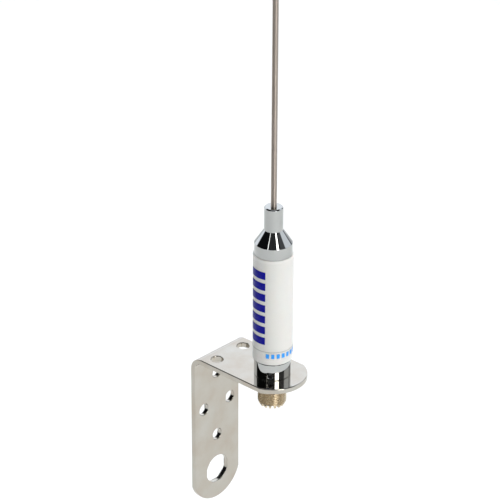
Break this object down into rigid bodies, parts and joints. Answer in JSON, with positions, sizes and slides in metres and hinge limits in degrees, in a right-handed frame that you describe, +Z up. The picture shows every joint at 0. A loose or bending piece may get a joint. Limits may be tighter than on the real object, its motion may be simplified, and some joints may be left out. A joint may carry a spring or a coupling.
{
  "type": "omnidirectional antenna",
  "caption": "Vertical whip antenna with a sleeved loading coil and a coaxial socket, standing on a steel L bracket for a mast or a wall.",
  "frame": {"origin": "centre of the four small holes of the leg, on the back face of the leg that lies against the mast or wall", "axes": "+X out of the wall towards the antenna, +Z up along the whip, +Y across the bracket"},
  "size_m": [0.0646, 0.036, 1.0006],
  "materials": {
    "polished_steel": "polished stainless steel sheet",
    "whip_steel": "drawn stainless steel rod",
    "chrome_brass": "chromium plated brass",
    "nickel_brass": "nickel plated brass, warm",
    "black_steel": "blackened steel",
    "white_vinyl": "satin white vinyl",
    "clear_film": "clear printed film",
    "ptfe": "turned PTFE",
    "gold_contact": "gold plated brass",
    "glass_epoxy": "glass and epoxy tube",
    "nitrile": "black nitrile rubber",
    "copper_wire": "enamelled copper wire"
  },
  "bodies": {
    "bracket": {"bracket": "polished_steel"},
    "antenna": {"base": "chrome_brass", "base_grub_screw": "black_steel", "connector_shell": "nickel_brass", "front_insulator": "ptfe", "rear_insulator": "ptfe", "insulator_ring": "nickel_brass", "centre_contact": "gold_contact", "coil_housing": "glass_epoxy", "sleeve": "white_vinyl", "label_film": "clear_film", "lower_o_ring": "nitrile", "upper_o_ring": "nitrile", "coil_former": "ptfe", "coil": "copper_wire", "feed_lead": "copper_wire", "ferrule": "chrome_brass", "whip_grub_screws": "black_steel"},
    "whip": {"whip": "whip_steel"}
  },
  "joints": [
    {"name": "antenna_turn", "type": "hinge", "parent": "bracket", "child": "antenna", "pos_m": [0.04525, 0, 0.037], "axis": [0, 0, 1], "continuous": true},
    {"name": "whip_slide", "type": "slide", "parent": "antenna", "child": "whip", "axis": [0, 0, 1], "range_m": [0, 0.012]}
  ]
}
